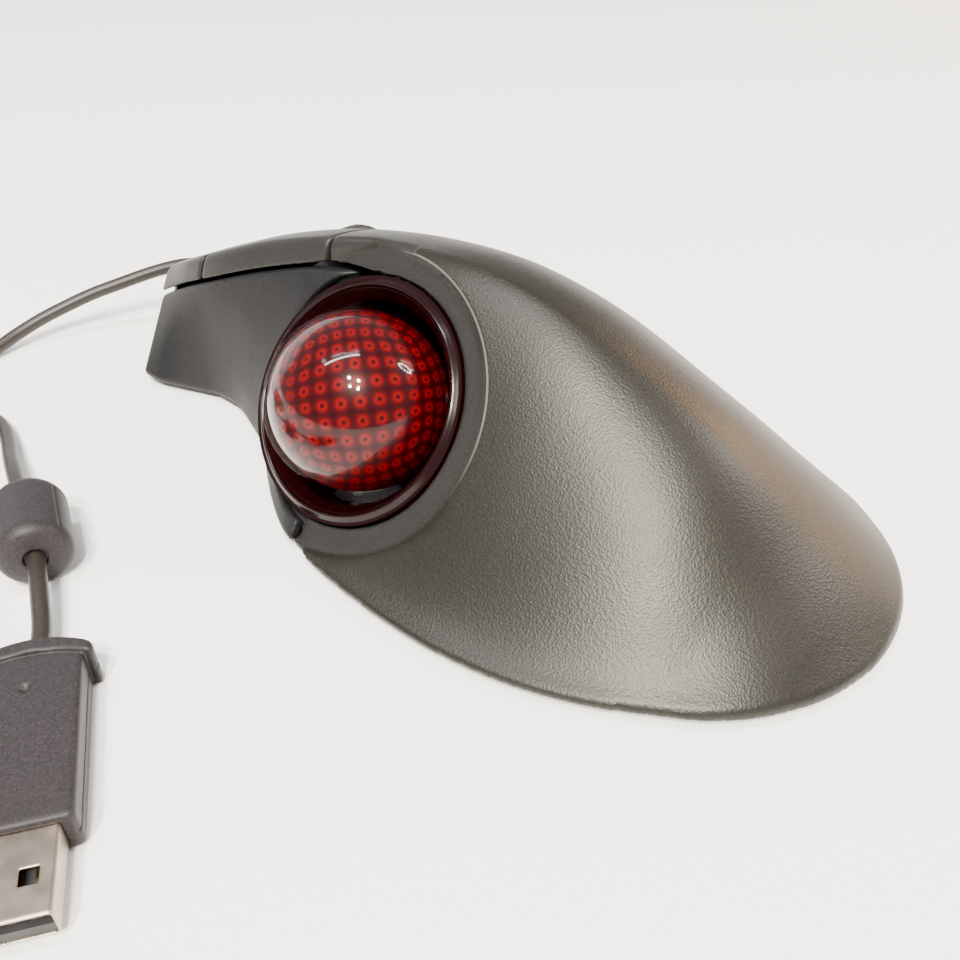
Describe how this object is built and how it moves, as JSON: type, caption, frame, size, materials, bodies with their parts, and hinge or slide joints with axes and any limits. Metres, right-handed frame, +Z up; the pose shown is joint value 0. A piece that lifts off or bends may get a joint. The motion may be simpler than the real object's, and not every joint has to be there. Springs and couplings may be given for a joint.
{
  "type": "trackball mouse",
  "caption": "Thumb-operated trackball mouse with a sculpted palm rest, buttons and scroll wheel, and a cable with a ferrite and a flat plug",
  "frame": {"origin": "on the desk, under the middle of the body's bounding box", "axes": "+Z up, +Y towards the front where the cable leaves, +X to the right-hand side"},
  "size_m": [0.1597, 0.224, 0.0455],
  "materials": {
    "case_grey": "fine metallic grain, satin",
    "button_grey": "fine metallic grain, satin",
    "panel_black": "satin charcoal",
    "base_black": "fine matt texture",
    "foot_rubber": "matt",
    "steel": "plain",
    "label": "plain foil",
    "ball_clear": "polished",
    "ball_red": "polished",
    "cup_red": "polished deep red",
    "bearing": "polished",
    "lens": "clear",
    "black_plastic": "fine matt",
    "led": "clear red",
    "board": "green lacquer",
    "hub": "semi-gloss",
    "tyre_rubber": "ribbed",
    "white_plastic": "plain",
    "encoder": "plain",
    "can": "plain",
    "capacitor": "sleeve",
    "ribbon": "flexible",
    "cable": "fine matt, slightly speckled",
    "tie": "plain",
    "ferrite": "matt",
    "plug_steel": "worn tinned",
    "contact": "plated"
  },
  "bodies": {
    "base": {"base_plate": "base_black", "upper_case": "case_grey", "thumb_panel": "panel_black", "front_nose": "button_grey", "rubber_feet": "foot_rubber", "case_screws": "steel", "rating_plate": "label", "ball_cup": "cup_red", "cup_bearings": "bearing", "cup_screws": "steel", "sensor_lens": "lens", "sensor_holder": "black_plastic", "sensor_board": "board", "sensor_chip": "black_plastic", "sensor_led": "led", "carrier_pivot": "steel", "wheel_frame": "black_plastic", "main_board": "board", "board_screws": "steel", "left_switch": "black_plastic", "right_switch": "black_plastic", "middle_switch": "black_plastic", "controller_chip": "black_plastic", "crystal": "can", "capacitors": "capacitor", "cord_connector": "white_plastic", "sensor_ribbon": "ribbon", "inner_lead": "cable", "strain_relief": "cable", "cord_lead": "cable", "cord_coil": "cable", "cord_tie": "tie", "cord_tail": "cable", "ferrite_cover": "cable", "ferrite_core": "ferrite", "plug_lead": "cable", "plug_overmold": "cable", "plug_shell": "plug_steel", "plug_insulator": "white_plastic", "plug_contacts": "contact"},
    "left_button_body": {"left_button": "button_grey"},
    "right_button_body": {"right_button": "button_grey"},
    "ball_inner": {"ball_core": "ball_red"},
    "ball": {"ball_shell": "ball_clear"},
    "carrier": {"wheel_carrier": "white_plastic", "wheel_encoder": "encoder"},
    "wheel": {"wheel_hub": "hub", "wheel_tyre": "tyre_rubber", "wheel_axle": "steel"},
    "left_plunger_body": {"left_plunger": "white_plastic"},
    "right_plunger_body": {"right_plunger": "white_plastic"},
    "middle_plunger_body": {"middle_plunger": "white_plastic"}
  },
  "joints": [
    {"name": "ball_roll_across", "type": "hinge", "parent": "base", "child": "ball_inner", "pos_m": [-0.023, 0.008, 0.022], "axis": [0, 1, 0], "continuous": true},
    {"name": "ball_roll_along", "type": "hinge", "parent": "ball_inner", "child": "ball", "pos_m": [-0.023, 0.008, 0.022], "axis": [0.6157, 0, 0.788], "continuous": true},
    {"name": "left_button_press", "type": "hinge", "parent": "base", "child": "left_button_body", "pos_m": [-0.004, 0.0265, 0.04], "axis": [1, 0, 0], "range_deg": [-1, 0], "stiffness_Nm_per_rad": 1.2},
    {"name": "right_button_press", "type": "hinge", "parent": "base", "child": "right_button_body", "pos_m": [0.02, 0.0265, 0.034], "axis": [1, 0, 0], "range_deg": [-1, 0], "stiffness_Nm_per_rad": 1.2},
    {"name": "wheel_press", "type": "hinge", "parent": "base", "child": "carrier", "pos_m": [0.008, 0.0235, 0.02], "axis": [1, 0, 0], "range_deg": [-1, 0], "stiffness_Nm_per_rad": 1.5},
    {"name": "wheel_spin", "type": "hinge", "parent": "carrier", "child": "wheel", "pos_m": [0.008, 0.038, 0.0247], "axis": [1, 0, 0], "continuous": true},
    {"name": "left_plunger_slide", "type": "slide", "parent": "base", "child": "left_plunger_body", "axis": [0, 0, 1], "range_m": [-0.0006, 0]},
    {"name": "right_plunger_slide", "type": "slide", "parent": "base", "child": "right_plunger_body", "axis": [0, 0, 1], "range_m": [-0.0006, 0]},
    {"name": "middle_plunger_slide", "type": "slide", "parent": "base", "child": "middle_plunger_body", "axis": [0, 0, 1], "range_m": [-0.0006, 0]}
  ],
  "couplings": [
    {"joint": "left_plunger_slide", "follows": "left_button_press", "m_per_rad": 0.0235},
    {"joint": "right_plunger_slide", "follows": "right_button_press", "m_per_rad": 0.0235},
    {"joint": "middle_plunger_slide", "follows": "wheel_press", "m_per_rad": 0.0305}
  ]
}
